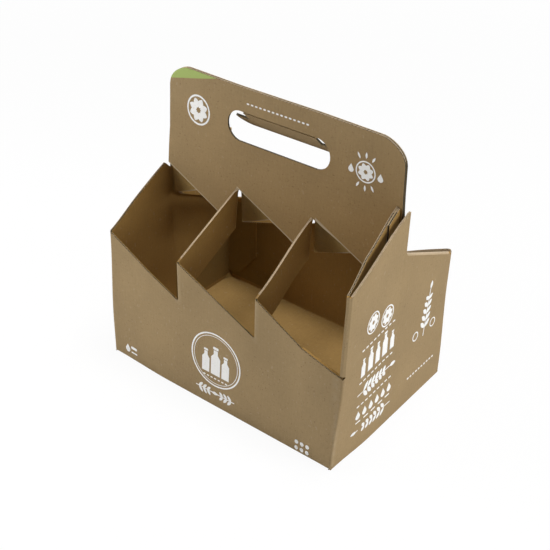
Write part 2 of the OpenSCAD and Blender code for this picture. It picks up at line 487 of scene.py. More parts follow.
# %% Draw the strips from wall to handle
STRIP_CUTS = 15
LONG_STRIP, SHORT_STRIP = 60 * MM, 25 * MM
half = join("carrier_board", [front, end, ply])
for hinge in (-0.5 * CELL, 0.5 * CELL):
    select_edges(
        half, lambda p: near(p.x, hinge) and near(p.y, -HALF_D) and p.z > SLIT_H - HAIR, border=True)
    draw_out(0, HALF_D - PLY_Y, SLANT)
    done()
weld(half)
for length, cuts in ((LONG_STRIP, STRIP_CUTS), (SHORT_STRIP, STRIP_CUTS // 2)):
    pick(half, "EDGE", lambda edge: abs(edge.verts[0].co.y - edge.verts[1].co.y) > length)
    bpy.ops.mesh.subdivide(number_cuts=cuts)
    done()
print("half of the carrier:", len(half.data.polygons), "faces")

# %% [markdown]
# ## The other half and the bottom
# Turning the half round by half a turn gives the other long wall, end and ply. The bottom is two wide
# flaps: the front one lies inside, a board higher, and the rear one below it. Each is
# drawn out of its wall's lower edge, short of the end walls.

# %% Turn, weld and close the bottom
PEAK_CLEAR = 2.6 * MM
NOTCH = 4.6 * MM
FLAP_HALF = HALF_L - 1.75 * MM
FLAP_R = 8 * MM
FRONT_PAST, REAR_PAST = 40 * MM, 60 * MM
FLAP_STEPS = (0.03, 0.3, 0.3, 0.3, 0.07)
carrier = join("carrier_board", [half, half_turned(half)])
weld(carrier)


def left_peak(c):
    """The tip of the left end wall, as far as just behind the handle."""
    return c.x < MM - HALF_L and -PEAK_PAST - HAIR < c.y < PEAK_CLEAR


def on_flap_fold(p, way, floor_h):
    """The fold between a long wall and its bottom flap, which points this way."""
    return near(p.y, -way * HALF_D) and near(p.z, floor_h) and abs(p.x) < FLAP_HALF + HAIR


cut(carrier, (0, PEAK_CLEAR, 0), (0, 1, 0), lambda c: c.x < MM - HALF_L and 0 < c.y < STEP_X)
cut(carrier, (0, -HALF_D, CORNER_H), (0, -SLANT, HALF_D), left_peak, drop=True)
notch_top = CORNER_H + (HALF_D - NOTCH) / HALF_D * SLANT
cut(carrier, (0, -NOTCH, notch_top), (0, 1, 1),
    lambda c: c.x < MM - HALF_L and -2 * STEP_X < c.y < PEAK_CLEAR and c.z > notch_top - 3 * NOTCH, drop=True)
cut(carrier, (0, 0, BOARD), (0, 0, -1), lambda c: c.y < HAIR - HALF_D, drop=True)
for side in (-1, 1):
    cut(carrier, (side * FLAP_HALF, 0, 0), (1, 0, 0),
        lambda c: c.z < STEP_Z and c.x * side > HALF_L - STEP_X and abs(c.y) > HALF_D - HAIR)
for way, floor_h, past in ((1, BOARD, FRONT_PAST), (-1, 0.0, REAR_PAST)):
    select_edges(carrier, lambda p: on_flap_fold(p, way, floor_h), border=True)
    for share in FLAP_STEPS:
        draw_out(0, way * (HALF_D + past) * share, 0)
    done()
    for side in (-1, 1):
        round_corner(
            carrier, (side * (FLAP_HALF - FLAP_R), way * (past - FLAP_R), floor_h), FLAP_R, (side, way),
            lambda c: near(c.z, floor_h) and c.x * side > FLAP_HALF - 2 * FLAP_R
            and c.y * way > past - 2 * FLAP_R, steps=6, rise=(0, 1, 0))
print("whole sheet:", len(carrier.data.polygons), "faces")

# %% [markdown]
# ## Hand hole and folds
# The hole is a slot with round ends, a little larger in the rear ply, where the hand flap swings
# through. Folded board is never sharp outside, so the folds are bevelled.

# %% Cut the holes and round the folds
HINGE_R, TOOTH_R, FLAP_FOLD_R = 1.2 * MM, 0.6 * MM, 1.4 * MM
HOLE_ROOM = 6 * MM


def cut_hole(piece, way, grow):
    """A slot with round ends through the ply on one side of the middle."""
    radius = HOLE_R + grow
    straight = HOLE_HALF - HOLE_R

    def around(c):
        on_this_ply = c.y * way > 0 and abs(c.y) < 3 * PLY_Y
        return on_this_ply and abs(c.z - HOLE_H) < 2 * HOLE_R and abs(c.x) < HOLE_HALF + HOLE_ROOM

    def in_band(c):
        return around(c) and abs(c.z - HOLE_H) < radius

    def inside(c):
        return around(c) and math.hypot(max(abs(c.x) - straight, 0), c.z - HOLE_H) < radius

    for edge in (-1, 1):
        cut(piece, (0, 0, HOLE_H + edge * radius), (0, 0, 1), around)
        cut(piece, (edge * straight, 0, 0), (1, 0, 0), in_band)
    for side in (-1, 1):
        for edge in (-1, 1):
            round_corner(
                piece, (side * straight, 0, HOLE_H), radius, (side, edge),
                lambda c: in_band(c) and c.x * side > straight, drop=False, steps=7)
        cut(piece, (side * (straight + radius), 0, 0), (1, 0, 0),
            lambda c: in_band(c) and c.x * side > straight)
    drop_faces(piece, inside)


def round_fold(piece, where, width, segments=2):
    count = select_edges(piece, where, border=False)
    bpy.ops.mesh.bevel(offset=width, segments=segments, affect="EDGES", clamp_overlap=True)
    done()
    return count


def on_hinge(p, depth):
    """The upright folds of the strips, at the wall or at the ply."""
    return near(abs(p.x), CELL / 2) and near(abs(p.y), depth)


cut_hole(carrier, -1, 0.0)
cut_hole(carrier, 1, HOLE_SPARE)
folded = round_fold(carrier, lambda p: near(abs(p.x), HALF_L) and near(abs(p.y), HALF_D), FOLD_R, 4)
folded += round_fold(carrier, lambda p: on_hinge(p, HALF_D) and p.z > SLIT_H - HAIR, HINGE_R)
folded += round_fold(carrier, lambda p: on_hinge(p, PLY_Y) and p.z < HEM_H + HAIR, TOOTH_R)
for way, floor_h in ((1, BOARD), (-1, 0.0)):
    folded += round_fold(carrier, lambda p: on_flap_fold(p, way, floor_h), FLAP_FOLD_R)
print("rounded", folded, "fold edges; sheet has", len(carrier.data.polygons), "faces")

# %% [markdown]
# ## Flaps that are glued inside
# A short tab of the handle is glued to the back of each hem strip, and a slanted flap of the end wall is
# glued behind the long wall, where its border shows as a faint ridge. Both are small panels of
# their own, cut to shape and turned round for the other side.

# %% Cut the glued tabs and flaps
TAB_X = HALF_L - 2 * HEM_R - STRIP_IN + BOARD + HAIR
TAB_Y = 17 * MM
TAB_LOW = 150 * MM
tab_h = 40 * MM
tab = lay_panel(
    "glued_tab", (TAB_X, -(TAB_Y + PLY_Y) / 2, TAB_LOW + tab_h / 2), (QUARTER, 0, -QUARTER),
    (TAB_Y - PLY_Y, tab_h), (4, 8))
strip_up = Vector((0, -SLANT, CELL)).normalized()
cut(tab, (TAB_X, -HALF_D, HEM_H - 0.6 * MM), strip_up, drop=True)
GLUE_LOW, GLUE_CORNER, GLUE_SIDE = 10 * MM, HALF_L - 14 * MM, 35 * MM
glue_h = KINK_H - GLUE_LOW
glue_flap = lay_panel(
    "glued_flap", ((KINK_X + HALF_L - BOARD) / 2, BOARD - HALF_D, GLUE_LOW + glue_h / 2), (QUARTER, 0, 0),
    (HALF_L - BOARD - KINK_X, glue_h), (7, 17))
cut(glue_flap, (KINK_X, 0, KINK_H - HAIR), flat, drop=True)
chamfer = Vector((GLUE_LOW - GLUE_SIDE, 0, KINK_X - GLUE_CORNER)).normalized()
cut(glue_flap, (KINK_X, 0, GLUE_SIDE), chamfer, drop=True)
glued = [tab, half_turned(tab), glue_flap, half_turned(glue_flap)]
print("glued tabs and flaps:", [len(piece.data.polygons) for piece in glued], "faces")

# %% [markdown]
# ## Finishes of the board
# Kraft paper is long brown fibres: soft clouds of tone, fine streaks, dark and pale flecks. The fluted core
# shows through the liner as faint upright stripes, which run along the length of every panel; they are
# bumped, and faintly painted into the colour as shade. Folds are rubbed paler. A pale line of painted
# highlight runs along the plies' lower borders, and painted shade darkens the handle's lower front and the
# rear left cell. Each effect is a node group that is built once, for the finishes that need it.

# %% Build the shared effects
PITCH = 3.2 * MM
COLOUR, NUMBER = "NodeSocketColor", "NodeSocketFloat"
KRAFT = (0.4, 0.3, 0.2, 1)
DARK_FLECK = (0.13, 0.074, 0.033, 1)
PALE_FLECK = (0.50, 0.40, 0.275, 1)
RUBBED = (0.48, 0.40, 0.28, 1)
# A pale tone, painted as a highlight along the handle plies' lower borders.
BORDER_HIGHLIGHT = (0.50, 0.40, 0.265, 1)
# A tint of painted shade for the lower front of the handle.
PLY_SHADE_TINT = (0.88, 0.75, 0.54, 1)
# A tint of painted shade for the rear left cell.
CELL_SHADE_TINT = (0.72, 0.77, 0.78, 1)


def tint(tree, blend, share, first, second):
    """A colour mix whose parts are sockets or plain values."""
    return put(
        tree, "ShaderNodeMix", ((0, share), (6, first), (7, second)),
        data_type="RGBA", blend_type=blend).outputs[2]


def own_place(tree):
    """The point on the piece, as three sockets."""
    place = put(tree, "ShaderNodeTexCoord").outputs["Object"]
    return put(tree, "ShaderNodeSeparateXYZ", ((0, place),)).outputs


def grain(tree, scale, detail=2.0, stretch=None):
    """Noise on the piece's own coordinates, stretched if asked."""
    place = put(tree, "ShaderNodeTexCoord").outputs["Object"]
    if stretch:
        place = put(tree, "ShaderNodeMapping", (("Vector", place), ("Scale", stretch))).outputs[0]
    return put(
        tree, "ShaderNodeTexNoise", (("Vector", place), ("Scale", scale), ("Detail", detail))).outputs[0]


def new_group(name, inputs, outputs):
    tree = bpy.data.node_groups.new(name, "ShaderNodeTree")
    for label, kind, value in inputs:
        socket = tree.interface.new_socket(name=label, in_out="INPUT", socket_type=kind)
        socket.default_value = value
    for label, kind in outputs:
        tree.interface.new_socket(name=label, in_out="OUTPUT", socket_type=kind)
    return tree, put(tree, "NodeGroupInput").outputs, put(tree, "NodeGroupOutput").inputs


def use_group(tree, group, **values):
    return put(tree, "ShaderNodeGroup", values.items(), node_tree=group).outputs


def kraft_fibre():
    """Brown fibres with clouds, streaks and flecks, and the flutes showing through as bumps and as faint
    stripes of painted shade.
    """
    tree, given, made = new_group(
        "kraft_fibre",
        (("Liner", COLOUR, KRAFT), ("Fleck", NUMBER, 0.5), ("Flute", NUMBER, 0.5)),
        (("Colour", COLOUR), ("Roughness", NUMBER), ("Height", NUMBER)))
    cloud = spread(tree, grain(tree, 22.0, 4.0), 0.3, 0.7, 0.93, 1.06)
    level_fibre = grain(tree, 1.0, 3.0, (260, 260, 1700))
    upright_fibre = grain(tree, 1.0, 3.0, (1500, 1500, 230))
    fibre = times(tree, calc(tree, "ADD", level_fibre, upright_fibre), 0.5)
    streak = spread(tree, fibre, 0.35, 0.65, 0.92, 1.07)
    place = own_place(tree)
    normal = put(tree, "ShaderNodeNewGeometry").outputs["True Normal"]
    facing = put(tree, "ShaderNodeSeparateXYZ", ((0, normal),)).outputs
    endways = calc(tree, "GREATER_THAN", calc(tree, "ABSOLUTE", facing[0]), 0.75)
    along = put(tree, "ShaderNodeMix", ((0, endways), (2, place[0]), (3, place[1]))).outputs[0]
    rib = times(tree, calc(tree, "SINE", times(tree, along, 2 * math.pi / PITCH)), given["Flute"])
    # The flutes' relief is also painted faintly into the colour as shade, besides the bump.
    ribbed_shade = calc(tree, "ADD", times(tree, rib, 0.012), 1.0)
    base = tint(tree, "MULTIPLY", 1.0, given["Liner"], times(tree, cloud, streak, ribbed_shade))
    dark = spread(tree, grain(tree, 620.0, 1.0), 0.66, 0.74, 0.0, 0.45)
    pale = spread(tree, grain(tree, 480.0, 1.0, (1.0, 1.0, 0.6)), 0.68, 0.76, 0.0, 0.35)
    for fleck, colour in ((dark, DARK_FLECK), (pale, PALE_FLECK)):
        base = tint(tree, "MIX", times(tree, fleck, given["Fleck"]), base, colour)
    feed(tree, made["Colour"], base)
    feed(tree, made["Roughness"], spread(tree, fibre, 0.3, 0.7, 0.82, 0.94))
    feed(tree, made["Height"], calc(tree, "ADD", times(tree, rib, 0.2), times(tree, fibre, 0.8)))
    return tree


def effect(mask, blend, colour, *numbers):
    """A group, named like its mask, that mixes one colour in where the mask says."""
    tree, given, made = new_group(
        mask.__name__, (("Colour", COLOUR, KRAFT),) + numbers, (("Colour", COLOUR),))
    feed(tree, made[0], tint(tree, blend, mask(tree, given), given["Colour"], colour))
    return tree


def rubbed_folds(tree, given):
    """Broken wear where the board is folded, from the piece's own fold_wear attribute."""
    fold = put(tree, "ShaderNodeAttribute", attribute_name="fold_wear").outputs["Fac"]
    broken = spread(tree, grain(tree, 260.0, 3.0), 0.35, 0.65, 0.25, 1.0)
    return times(tree, fold, broken, given["Amount"])


def printed_ink():
    """Ink on rough paper: the brown liner shows through in fine specks."""
    tree, given, made = new_group(
        "printed_ink",
        (("Ink", COLOUR, (0.8, 0.8, 0.8, 1)), ("Liner", COLOUR, KRAFT), ("Cover", NUMBER, 0.9)),
        (("Colour", COLOUR),))
    specks = spread(tree, grain(tree, 900.0, 2.0), 0.58, 0.72, 0.0, 0.15)
    thin = spread(tree, grain(tree, 60.0, 3.0), 0.3, 0.7, 0.03, 0.0)
    bare = calc(tree, "SUBTRACT", calc(tree, "ADD", specks, 1.0), given["Cover"])
    feed(tree, made[0], tint(tree, "MIX", calc(tree, "ADD", bare, thin), given["Ink"], given["Liner"]))
    return tree


def on_ply(tree, along, depth, reach):
    """A mask of one handle ply: from this far in front of the middle, and between its upright sides."""
    at_ply = spread(tree, depth, -reach, 2 * MM - reach)
    in_front = spread(tree, depth, -0.5 * MM, 0.0, 1.0, 0.0)
    inside = spread(tree, calc(tree, "ABSOLUTE", along), HANDLE_HALF, HANDLE_HALF + 0.5 * MM, 1.0, 0.0)
    return times(tree, at_ply, in_front, inside)


def border_highlight(tree, given):
    """A fine pale line of painted highlight along a ply's slanted lower border: 1 front, -1 rear."""
    place = own_place(tree)
    along, depth = (times(tree, place[axis], given["Side"]) for axis in (0, 1))
    cells = times(tree, calc(tree, "ADD", along, 1.5 * CELL), 1 / CELL)
    border = calc(tree, "SUBTRACT", HEM_H, times(tree, calc(tree, "FRACT", cells), SLANT))
    above = calc(tree, "SUBTRACT", place[2], border)
    line = times(
        tree, spread(tree, above, 0.5 * MM, 1.2 * MM, 1.0, 0.0), spread(tree, above, -1.5 * MM, -MM))
    return times(tree, line, on_ply(tree, along, depth, 15 * MM))


def ply_foot_shade(tree, given):
    """Painted shade on the lower part of the handle's front, most of all towards the right."""
    place = own_place(tree)
    low = spread(tree, place[2], 262 * MM, 150 * MM)
    right = spread(tree, place[0], -HANDLE_HALF, HANDLE_HALF, 0.2, 1.0)
    return times(tree, low, right, on_ply(tree, place[0], place[1], 16 * MM))


def rear_cell_shade(tree, given):
    """Painted shade at the foot of the end wall in the rear left cell, and on the rear wall there up to a
    greater height.
    """
    place = own_place(tree)
    on_rear_wall = spread(tree, place[0], 3 * MM - HALF_L, 6 * MM - HALF_L)
    height = calc(tree, "SUBTRACT", place[2], times(tree, on_rear_wall, 50 * MM))
    low = spread(tree, height, 36 * MM, 54 * MM, 1.0, 0.0)
    left = spread(tree, place[0], -CELL, -0.5 * CELL, 1.0, 0.0)
    return times(tree, low, left)


fibre_group, ink_group = kraft_fibre(), printed_ink()
fold_group = effect(rubbed_folds, "MIX", RUBBED, ("Amount", NUMBER, 0.5))
border_highlight_group = effect(border_highlight, "MIX", BORDER_HIGHLIGHT, ("Side", NUMBER, 1.0))
ply_shade_group = effect(ply_foot_shade, "MULTIPLY", PLY_SHADE_TINT)
cell_shade_group = effect(rear_cell_shade, "MULTIPLY", CELL_SHADE_TINT)
print("effects:", sorted(group.name for group in bpy.data.node_groups))

# %% [markdown]
# ## A finish for each kind of face
# The same effects, with other colours and amounts, make the liners, the cut edges, the core and the inks.

# %% Make the board's finishes
OUTER = (0.338, 0.239, 0.121, 1)
INNER = (0.335, 0.198, 0.057, 1)
CUT_EDGE = (0.53, 0.425, 0.29, 1)
FLOOR_LINER = (0.32, 0.196, 0.064, 1)
# A lighter copy of the inner liner: painted light on the backs of the handle plies.
REAR_PLY_LIT = (0.43, 0.286, 0.103, 1)
CORE = (0.44, 0.336, 0.216, 1)
# Painted shade: a dark finish for cut edges that lie in shadow or show open flutes.
SHADE_ON_EDGES = (0.068, 0.055, 0.031, 1)
WHITE_INK = (0.97, 0.965, 0.95, 1)
GREEN_INK = (0.384, 0.488, 0.15, 1)
PAPER_SHINE = 0.25
GRAIN_DEPTH = 0.12 * MM


def board_finish(name, liner, fleck, flute, worn=0.0, ink=None, cover=1.0, border=0, deep=False):
    """A paper finish: fibres, then ink if it is printed, then wear, then the painted shade and painted
    highlight of its place.
    """
    material = bpy.data.materials.new(name)
    material.use_nodes = True
    tree = material.node_tree
    paper = tree.nodes["Principled BSDF"].inputs
    paper["Specular IOR Level"].default_value = PAPER_SHINE
    fibre = use_group(tree, fibre_group, Liner=liner, Fleck=fleck, Flute=flute)
    colour = fibre["Colour"]
    if ink:
        colour = use_group(tree, ink_group, Ink=ink, Liner=colour, Cover=cover)[0]
    if worn:
        colour = use_group(tree, fold_group, Colour=colour, Amount=worn)[0]
    # Painted shade deep in the rear left cell.
    if deep:
        colour = use_group(tree, cell_shade_group, Colour=colour)[0]
    # Painted shade on the handle's lower front.
    if border > 0:
        colour = use_group(tree, ply_shade_group, Colour=colour)[0]
    # A painted highlight along the plies' lower borders.
    if border:
        colour = use_group(tree, border_highlight_group, Colour=colour, Side=border)[0]
    feed(tree, paper["Base Color"], colour)
    feed(tree, paper["Roughness"], fibre["Roughness"])
    bump = put(tree, "ShaderNodeBump", (
        ("Strength", 0.35), ("Distance", GRAIN_DEPTH), ("Height", fibre["Height"])))
    feed(tree, paper["Normal"], bump.outputs[0])
    return material


outer = board_finish("kraft_outer_liner", OUTER, 0.7, 0.8, worn=0.45, border=1)
inner = board_finish("kraft_inner_liner", INNER, 0.6, 0.9, worn=0.30)
cut_edge = board_finish("kraft_cut_edge", CUT_EDGE, 0.3, 0.0)
core = board_finish("kraft_fluted_core", CORE, 0.2, 0.0)
floor_liner = board_finish("kraft_floor_liner", FLOOR_LINER, 0.6, 0.9, worn=0.30)
rear_ply_lit_liner = board_finish("kraft_rear_ply_painted_light", REAR_PLY_LIT, 0.6, 0.9, worn=0.30, border=-1)
shaded_cell_liner = board_finish("kraft_painted_cell_shade", INNER, 0.6, 0.9, worn=0.30, deep=True)
edge_shade_finish = board_finish("kraft_edge_painted_shade", SHADE_ON_EDGES, 0.2, 0.0)
green = board_finish("green_print", OUTER, 0.4, 0.6, worn=0.3, ink=GREEN_INK, cover=0.97)
white = board_finish("white_print", OUTER, 0.4, 0.3, ink=WHITE_INK, cover=0.98)
sheet_finishes = (
    outer, inner, cut_edge, green, inner, cut_edge, core, edge_shade_finish, floor_liner, rear_ply_lit_liner, shaded_cell_liner)
print("finishes:", sorted({finish.name for finish in sheet_finishes + (white,)}))

# %% [markdown]
# ## Thickness, cut edges and the green corner
# A wedge of the handle's corner is printed green: the ply is cut along the wedge's lower border, and the
# faces above it get another finish. Then Solidify turns the sheet into board. It also marks the cut
# edges with their own finish, so they can be found again: an inset with a little depth leaves the two
# liners standing, with the fluted core between them, as on every cut edge of corrugated board.

# %% Join the sheet, give it thickness and open its edges
GROOVE = 0.3 * MM
SMOOTH_BELOW = math.radians(28)
OUTER_SLOT, INNER_SLOT, EDGE_SLOT, GREEN_SLOT = 0, 1, 2, 3
GREEN_EDGE_SLOT, CORE_SLOT, EDGE_SHADE_SLOT, FLOOR_SLOT, REAR_PLY_LIT_SLOT, CELL_SHADE_SLOT = 5, 6, 7, 8, 9, 10


def make_board(piece):
    """Board thickness inwards from the outer face, with grooved cut edges."""
    for finish in sheet_finishes:
        piece.data.materials.append(finish)
    thicken_sheet(
        piece, thickness=BOARD, offset=-1, use_even_offset=True, material_offset=1, material_offset_rim=2)
    rims = pick(piece, "FACE", lambda face: face.material_index in (EDGE_SLOT, GREEN_EDGE_SLOT))
    bpy.ops.mesh.inset(thickness=LINER, depth=-GROOVE, use_boundary=True, use_even_offset=False)
    piece.active_material_index = CORE_SLOT
    bpy.ops.object.material_slot_assign()
    done()
    bpy.ops.object.shade_smooth_by_angle(angle=SMOOTH_BELOW)
    return rims


edit(carrier)
bpy.ops.mesh.normals_make_consistent(inside=False)
done()
if sum(face.normal.y for face in carrier.data.polygons if face.center.y < HAIR - HALF_D) > 0:
    edit(carrier)
    bpy.ops.mesh.flip_normals()
    done()
carrier = join("carrier_board", [carrier] + glued)
GREEN_LEFT, GREEN_LEFT_H = -107.6 * MM, 226.4 * MM
GREEN_RIGHT, GREEN_RIGHT_H = -59.5 * MM, 240.9 * MM
green_up = Vector((GREEN_LEFT_H - GREEN_RIGHT_H, 0, GREEN_RIGHT - GREEN_LEFT)).normalized()
green_from = Vector((GREEN_LEFT, 0, GREEN_LEFT_H))


def front_ply_top(c):
    return -2 * PLY_Y < c.y < 0 and c.z > HOLE_H and c.x < GREEN_RIGHT + STEP_X


cut(carrier, green_from, green_up, front_ply_top)
for face in carrier.data.polygons:
    if front_ply_top(face.center) and (face.center - green_from).dot(green_up) > 0:
        face.material_index = GREEN_SLOT
rims = make_board(carrier)

# %% [markdown]
# ## Which liner shows where
# The parts of one sheet don't look alike. The floor has its own tone, the plies' backs a lighter liner as
# painted light, and the deep corner a painted shade. Open flutes and rims in shadow get a painted shade on
# the handle, on the hemmed strips and along the rims that face the viewer.
# Each face gets its finish by its place.

# %% Give the faces their finishes


def at_grip(c):
    """The rim of the hand hole and the upright sides of the handle."""
    hole = math.hypot(max(abs(c.x) - HOLE_HALF + HOLE_R, 0), c.z - HOLE_H) < HOLE_R + HOLE_SPARE + MM
    hole = hole and c.z < HOLE_H + 0.6 * HOLE_R
    side = abs(abs(c.x) - HANDLE_HALF) < MM and c.z < TOP_H - HANDLE_R / 2
    return abs(c.y) < 2 * PLY_Y and c.z > HEM_H and (hole or side)


def in_strip(c):
    """The strips that stand between the long walls and the handle."""
    across = 2 * PLY_Y < abs(c.y) < HALF_D - 3 * MM
    return across and SLIT_H < c.z < PEAK_H and abs(c.x) < HALF_L - 2 * MM


def in_hem(c):
    """The two strips that are folded back from the end walls, with the tabs glued to them."""
    return in_strip(c) and abs(c.x) > HALF_L - 16 * MM


def in_deep_cell(c):
    """The walls of the rear left cell, whose liner gets painted shade."""
    walls = c.y > HALF_D - 3 * BOARD or c.x < 3 * BOARD - HALF_L
    inside = 0 < c.y < HALF_D - 0.5 * BOARD and 0.5 * BOARD - HALF_L < c.x < -0.5 * CELL
    return walls and inside and 2.2 * BOARD < c.z < HEM_H and not in_strip(c)


def edge_finish(c, slot):
    """A cut edge is pale with a brown core, but gets painted shade in some places: dark where it lies in
    shadow or shows open flutes, and the inner liner's tone on rims in shade.
    """
    if at_grip(c) or slot == CORE_SLOT and (c.z > TOP_H - HANDLE_R or in_hem(c)):
        return EDGE_SHADE_SLOT
    # The rims of the front and left walls lie in shade: painted shade, dark on the core and the inner liner's
    # tone on the liners.
    if c.y < BOARD + HAIR - HALF_D or c.x < BOARD + HAIR - HALF_L:
        return EDGE_SHADE_SLOT if slot == CORE_SLOT else INNER_SLOT
    # Edges just inside the long walls take the inner liner's tone as painted shade.
    return INNER_SLOT if HALF_D - 2.2 * BOARD < abs(c.y) < HALF_D - BOARD else slot


def liner_finish(c, slot, upward):
    """The liner of the deep cell with its painted shade, the floor, the plies' backs lightened with painted
    light, or a strip, where it isn't the plain one.
    """
    if in_deep_cell(c):
        return CELL_SHADE_SLOT
    if slot == OUTER_SLOT:
        return INNER_SLOT if in_strip(c) else slot
    if upward > 0.9 and c.z < 3 * BOARD:
        return FLOOR_SLOT
    # The plies' backs, seen through the windows, get the lighter liner as painted light coming in under the
    # front ply.
    on_ply_back = abs(c.y) < PLY_Y and SLIT_H < c.z < PEAK_H and abs(c.x) < HANDLE_HALF
    return REAR_PLY_LIT_SLOT if on_ply_back else slot


for face in carrier.data.polygons:
    if face.material_index in (EDGE_SLOT, CORE_SLOT):
        face.material_index = edge_finish(face.center, face.material_index)
    elif face.material_index in (OUTER_SLOT, INNER_SLOT):
        face.material_index = liner_finish(face.center, face.material_index, face.normal.z)
print("board:", len(carrier.data.polygons), "faces,", rims, "edge faces; green:",
      sum(face.material_index == GREEN_SLOT for face in carrier.data.polygons))

# %% [markdown]
# ## Hand flap
# The slot's board isn't cut away: it hangs from the slot's top edge and folds back through the rear ply.
# It is cut from a small panel of its own, with relief nicks beside the hinge, and turned
# about the hinge line to the angle of the picture. It rides on its own body, so it can swing.

# %% Cut and fold the hand flap
HINGE_H = 219 * MM
HINGE_Y = -0.15 * MM
HINGE_HALF = 33.5 * MM
RELIEF = 12 * MM
FLAP_ROUND = 12.1 * MM
FLAP_LONG = 47.6 * MM
FOLD_BACK = math.radians(45.5)
flap_mid, flap_end = HINGE_H - FLAP_ROUND, FLAP_LONG - FLAP_ROUND
flap = lay_panel(
    "hand_flap_board", (0, -PLY_Y, flap_mid), (QUARTER, 0, 0), (2 * FLAP_LONG, 2 * FLAP_ROUND), (40, 10))
for side in (-1, 1):
    for edge in (-1, 1):
        round_corner(
            flap, (side * flap_end, 0, flap_mid), FLAP_ROUND, (side, edge),
            lambda c: c.x * side > flap_end and (c.z - flap_mid) * edge > 0, steps=7)
    cut(flap, (side * HINGE_HALF, 0, 0), (1, 0, 0),
        lambda c: c.x * side > 0 and c.z > HINGE_H - RELIEF - STEP_Z)
    cut(flap, (0, 0, HINGE_H - RELIEF), (0, 0, 1), lambda c: c.x * side > HINGE_HALF, drop=True)
make_board(flap)
for face in flap.data.polygons:
    at_hinge = math.hypot(face.center.y - HINGE_Y, face.center.z - HINGE_H) < 1.5 * BOARD
    if face.material_index == INNER_SLOT or at_hinge:
        face.material_index = OUTER_SLOT
    # The flap's cut edges get the painted shade of the edges.
    elif face.material_index in (EDGE_SLOT, CORE_SLOT):
        face.material_index = EDGE_SHADE_SLOT
hold(flap)
bpy.ops.transform.rotate(value=-FOLD_BACK, orient_axis="X", center_override=(0, HINGE_Y, HINGE_H))
fix_place()
flap_low, flap_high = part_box("hand_flap")
print("flap box mm", [round(v / MM, 1) for v in (*flap_low, *flap_high)], "made",
      [round(f(v.co[i] for v in flap.data.vertices) / MM, 1) for f in (min, max) for i in range(3)])

# %% [markdown]
# ## Fluted core in the cut edges
# Between the liners runs a waved sheet. On each cut edge across the flutes it shows as a fine wave, so
# a thin ribbon is laid into the groove of every such edge. Each ribbon starts as a strip of
# squares. Its points follow the edge, swing from side to side and reach down into the groove.

# %% Lay the waved ribbons
WAVE_STEPS = 6
WAVE_SWING = 0.4 * MM
WAVE_TOP, WAVE_DEEP = 0.02 * MM, 0.29 * MM
RIBBON = 0.14 * MM


def ribbon(points, swing, inward):
    """A waved strip along an edge: its points, the board's thickness direction and the way in."""
    corners = [Vector(point) for point in points]
    swing, inward = Vector(swing), Vector(inward)
    sideways = 1 if abs(swing.x) > 0.5 else 0
    path = []
    for first, second in zip(corners, corners[1:]):
        count = max(1, round(abs(second[sideways] - first[sideways]) / PITCH * WAVE_STEPS))
        path += [first.lerp(second, step / count) for step in range(count)]
    path.append(corners[-1])
    strip = lay_panel("core_ribbon", (0, 0, 0), (0, 0, 0), (1, 1), (len(path) - 1, 1))
    for index, place in enumerate(path):
        wave = place + swing * WAVE_SWING * math.sin(2 * math.pi * place[sideways] / PITCH)
        strip.data.vertices[index].co = wave + inward * WAVE_TOP
        strip.data.vertices[index + len(path)].co = wave + inward * WAVE_DEEP
    return strip


MID = BOARD / 2
wall_y, ply_y = MID - HALF_D, MID - PLY_Y
end_x, hem_x = HALF_L - MID, HALF_L - 2 * HEM_R + MID
X_WAY, Y_WAY, DOWN, UP = (1, 0, 0), (0, 1, 0), (0, 0, -1), (0, 0, 1)
strip_y = (2 * MM - HALF_D, -PLY_Y)


def strip_z(y, start):
    return start + (y + HALF_D) / HALF_D * SLANT


def half_turned_points(points):
    return [(-x, -y, z) for x, y, z in points]


def slot_arc(radius, edge):
    """The upper or lower rim of a hand hole, from one round end to the other."""
    points = []
    for step in range(-5, 6):
        turn = QUARTER * step / 6
        middle = math.copysign(HOLE_HALF - HOLE_R, turn) * (turn != 0)
        points.append((middle + radius * math.sin(turn), ply_y, HOLE_H + edge * radius * math.cos(turn)))
    return points


runs = []
for left, start in ((-1.5 * CELL, CORNER_H), (-0.5 * CELL, SHOULDER_H)):
    top = (left + BOARD, wall_y, start - BOARD * (start - SLIT_H) / CELL)
    runs.append(((top, (left + CELL - MM, wall_y, SLIT_H)), Y_WAY, DOWN))
kinked = ((last + BOARD, SHOULDER_H - MM), (KINK_X, KINK_H), (HALF_L - HEM_R, HOOK_H))
runs.append(([(x, wall_y, z) for x, z in kinked], Y_WAY, DOWN))
for hinge in (-0.5 * CELL, 0.5 * CELL):
    for start, way in ((SHOULDER_H, DOWN), (SLIT_H, UP)):
        runs.append(([(hinge + MID, y, strip_z(y, start)) for y in strip_y], X_WAY, way))
for start, way in ((HEM_H, DOWN), (hem_from, UP)):
    path = ((hem_x, hem_y), (hem_x - STRIP_IN, hem_y + STRIP_TURN), (hem_x - STRIP_IN, -PLY_Y))
    runs.append(([(x, y, strip_z(y, start)) for x, y in path], X_WAY, way))
arc = []
for step in range(8):
    turn = QUARTER * step / 8
    past = HANDLE_R * math.sin(turn)
    arc.append((HANDLE_HALF - HANDLE_R + past, ply_y, TOP_H - HANDLE_R * (1 - math.cos(turn))))
runs.append(([(-x, y, z) for x, y, z in reversed(arc)] + arc, Y_WAY, DOWN))
for left in (-1.5 * CELL, -0.5 * CELL, 0.5 * CELL):
    tooth = (max(left, -HANDLE_HALF), min(left + CELL - BOARD, HANDLE_HALF))
    runs.append(([(x, ply_y, HEM_H - (x - left) / CELL * SLANT) for x in tooth], Y_WAY, UP))

